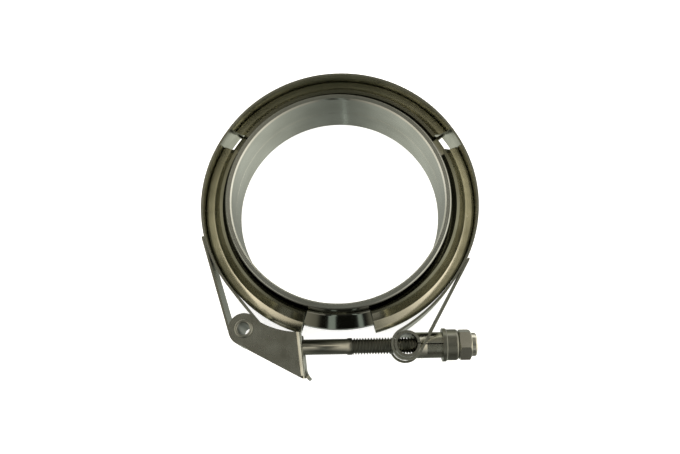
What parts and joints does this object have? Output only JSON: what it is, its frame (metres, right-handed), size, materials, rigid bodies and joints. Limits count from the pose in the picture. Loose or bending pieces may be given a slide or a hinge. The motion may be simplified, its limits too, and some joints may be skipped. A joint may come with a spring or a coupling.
{
  "type": "v band clamp",
  "caption": "Quick-release V-band clamp with a latch and T-bolt, closed round weld flanges for a thin-walled tube.",
  "frame": {"origin": "on the tube's axis, in the plane where the two flanges meet", "axes": "+Z along the tube's axis, out of the flange that carries the groove; T-bolt parallel to X with its nut towards +X, on the -Y side"},
  "size_m": [0.101, 0.1147, 0.0238],
  "materials": {
    "strap_steel": "satin, bright annealed stainless strip",
    "retainer_steel": "satin, rolled stainless strip",
    "turned_steel": "finely turned stainless steel",
    "sheet_steel": "satin, pressed stainless sheet",
    "bolt_steel": "rolled stainless steel",
    "nut_steel": "bright machined stainless steel"
  },
  "bodies": {
    "ring": {"strap": "strap_steel", "retainer_top": "retainer_steel", "retainer_right": "retainer_steel", "retainer_left": "retainer_steel", "flange_upper": "turned_steel", "flange_lower": "turned_steel"},
    "latch": {"latch": "sheet_steel", "latch_pin": "bolt_steel"},
    "trunnion": {"trunnion": "sheet_steel", "collar": "turned_steel"},
    "t_bolt": {"t_bolt": "bolt_steel"},
    "nut": {"lock_nut": "nut_steel"}
  },
  "joints": [
    {"name": "latch_swing", "type": "hinge", "parent": "ring", "child": "latch", "pos_m": [-0.0332, -0.04581, 0], "axis": [0, 0, 1], "range_deg": [-170, 0]},
    {"name": "trunnion_swing", "type": "hinge", "parent": "ring", "child": "trunnion", "pos_m": [0.02305, -0.05166, 0], "axis": [0, 0, 1], "range_deg": [0, 13]},
    {"name": "nut_spin", "type": "hinge", "parent": "trunnion", "child": "nut", "pos_m": [0.04505, -0.05166, 0], "axis": [1, 0, 0], "range_deg": [0, 1080]},
    {"name": "bolt_slide", "type": "slide", "parent": "trunnion", "child": "t_bolt", "axis": [-1, 0, 0], "range_m": [0, 0.003]}
  ],
  "couplings": [
    {"joint": "trunnion_swing", "follows": "latch_swing", "ratio": -0.076471},
    {"joint": "nut_spin", "follows": "bolt_slide", "rad_per_m": 6283.2}
  ]
}
